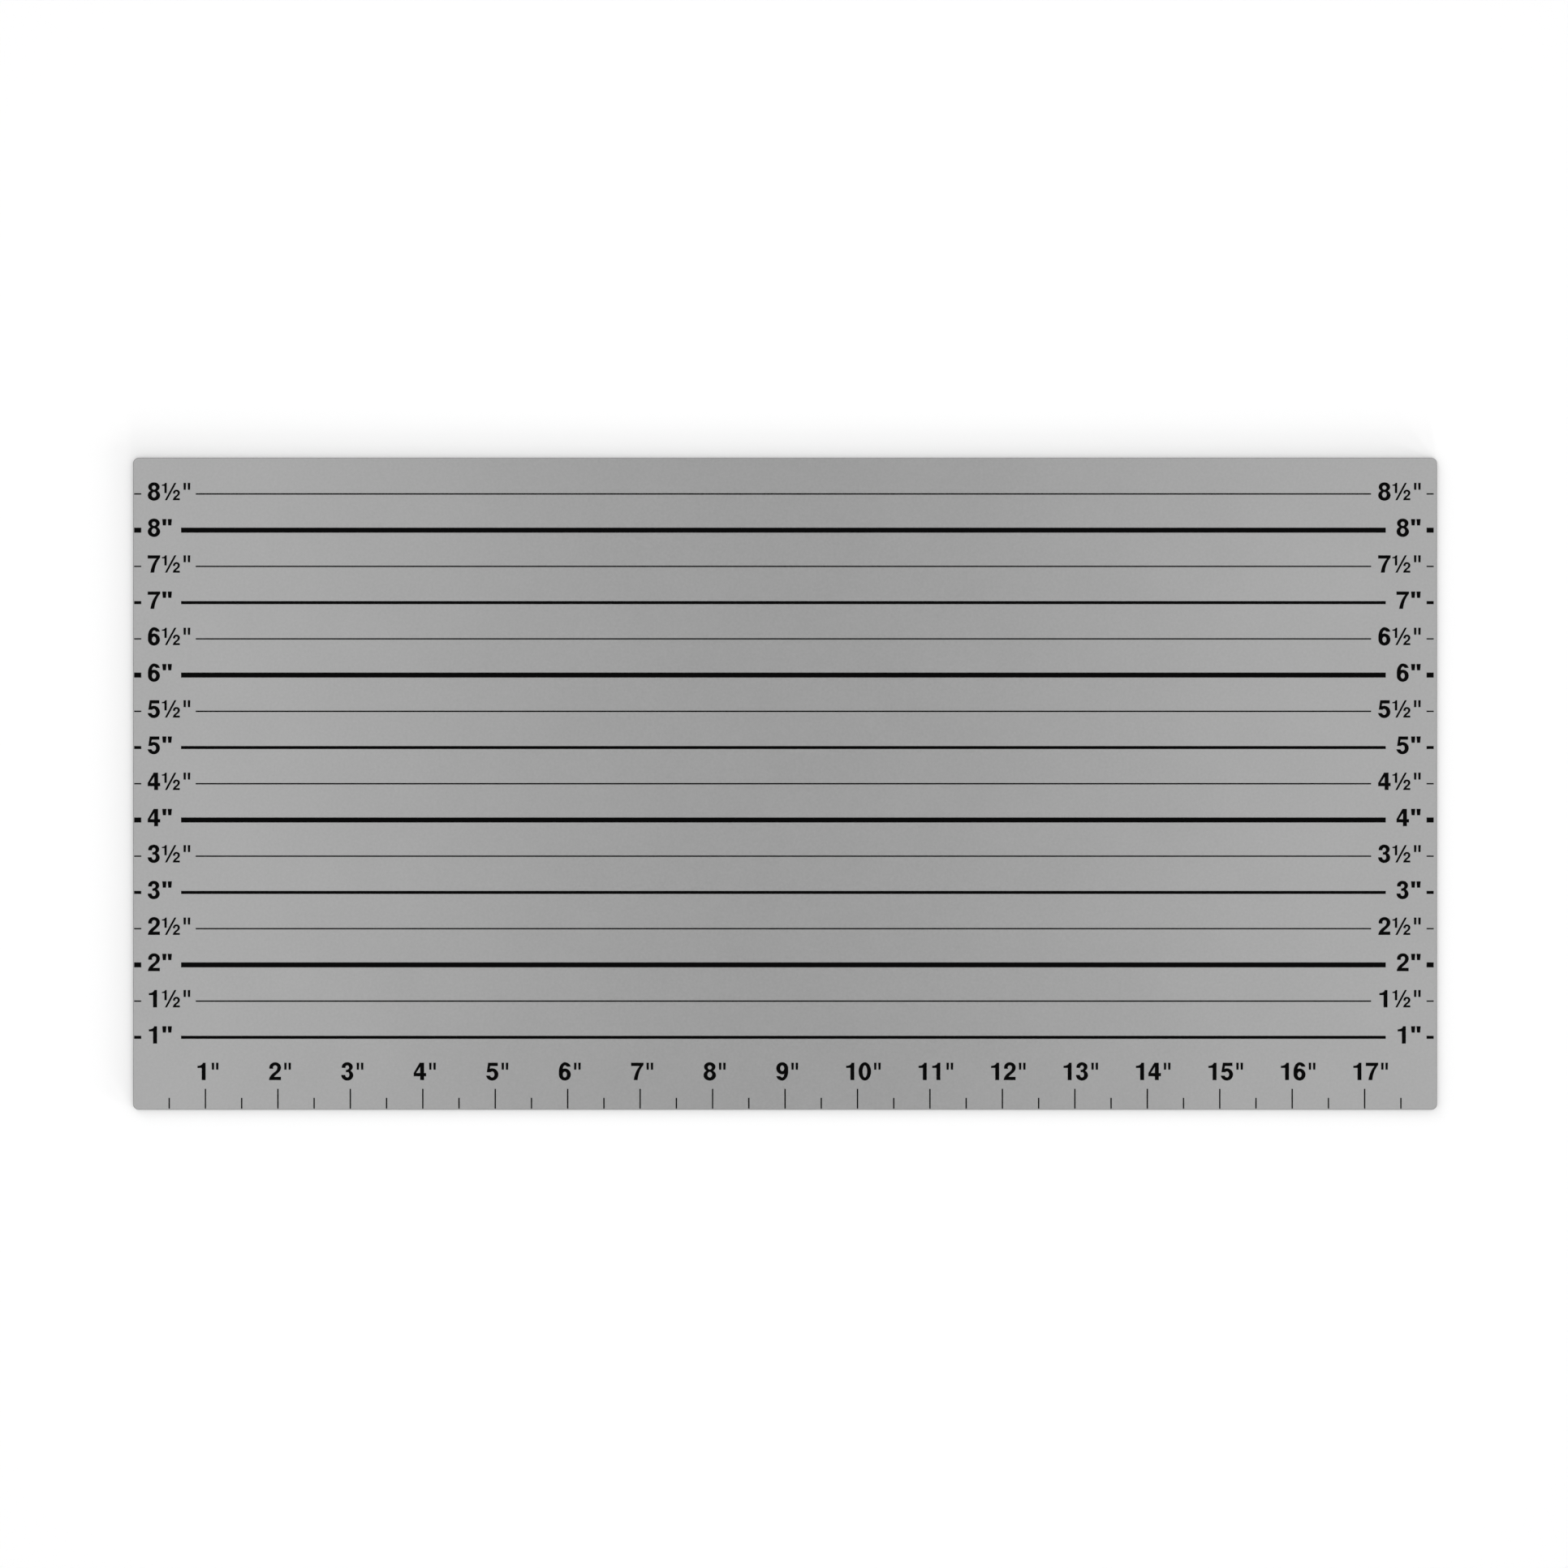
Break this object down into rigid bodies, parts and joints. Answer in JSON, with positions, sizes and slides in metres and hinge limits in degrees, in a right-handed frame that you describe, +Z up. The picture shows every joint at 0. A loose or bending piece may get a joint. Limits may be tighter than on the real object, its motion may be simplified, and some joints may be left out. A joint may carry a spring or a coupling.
{
  "type": "sewing gauge",
  "caption": "Flat rectangular sheet-metal hem gauge with printed hem lines, numbered in inches at both ends, and an inch scale along its fold edge, for folding and pressing hems.",
  "frame": {"origin": "middle of the sheet's underside, on the surface that the gauge lies on", "axes": "+X along the fold edge, to the right as the numbers read; +Y across the sheet, from the fold edge to the far edge; +Z up, out of the printed face"},
  "size_m": [0.4572, 0.2286, 0.0016],
  "materials": {
    "rolled_aluminium": "satin, with a fine mottle from rolling",
    "screen_ink": "black screen-printed ink, semi-matt"
  },
  "bodies": {
    "root": {"gauge_plate": "rolled_aluminium", "hem_line_1_inch": "screen_ink", "hem_line_1_and_half_inch": "screen_ink", "hem_line_2_inch": "screen_ink", "hem_line_2_and_half_inch": "screen_ink", "hem_line_3_inch": "screen_ink", "hem_line_3_and_half_inch": "screen_ink", "hem_line_4_inch": "screen_ink", "hem_line_4_and_half_inch": "screen_ink", "hem_line_5_inch": "screen_ink", "hem_line_5_and_half_inch": "screen_ink", "hem_line_6_inch": "screen_ink", "hem_line_6_and_half_inch": "screen_ink", "hem_line_7_inch": "screen_ink", "hem_line_7_and_half_inch": "screen_ink", "hem_line_8_inch": "screen_ink", "hem_line_8_and_half_inch": "screen_ink", "hem_numbers_1_inch": "screen_ink", "hem_numbers_1_and_half_inch": "screen_ink", "hem_numbers_2_inch": "screen_ink", "hem_numbers_2_and_half_inch": "screen_ink", "hem_numbers_3_inch": "screen_ink", "hem_numbers_3_and_half_inch": "screen_ink", "hem_numbers_4_inch": "screen_ink", "hem_numbers_4_and_half_inch": "screen_ink", "hem_numbers_5_inch": "screen_ink", "hem_numbers_5_and_half_inch": "screen_ink", "hem_numbers_6_inch": "screen_ink", "hem_numbers_6_and_half_inch": "screen_ink", "hem_numbers_7_inch": "screen_ink", "hem_numbers_7_and_half_inch": "screen_ink", "hem_numbers_8_inch": "screen_ink", "hem_numbers_8_and_half_inch": "screen_ink", "inch_ticks": "screen_ink", "half_inch_ticks": "screen_ink", "edge_number_1_inch": "screen_ink", "edge_number_2_inch": "screen_ink", "edge_number_3_inch": "screen_ink", "edge_number_4_inch": "screen_ink", "edge_number_5_inch": "screen_ink", "edge_number_6_inch": "screen_ink", "edge_number_7_inch": "screen_ink", "edge_number_8_inch": "screen_ink", "edge_number_9_inch": "screen_ink", "edge_number_10_inch": "screen_ink", "edge_number_11_inch": "screen_ink", "edge_number_12_inch": "screen_ink", "edge_number_13_inch": "screen_ink", "edge_number_14_inch": "screen_ink", "edge_number_15_inch": "screen_ink", "edge_number_16_inch": "screen_ink", "edge_number_17_inch": "screen_ink"}
  },
  "joints": []
}
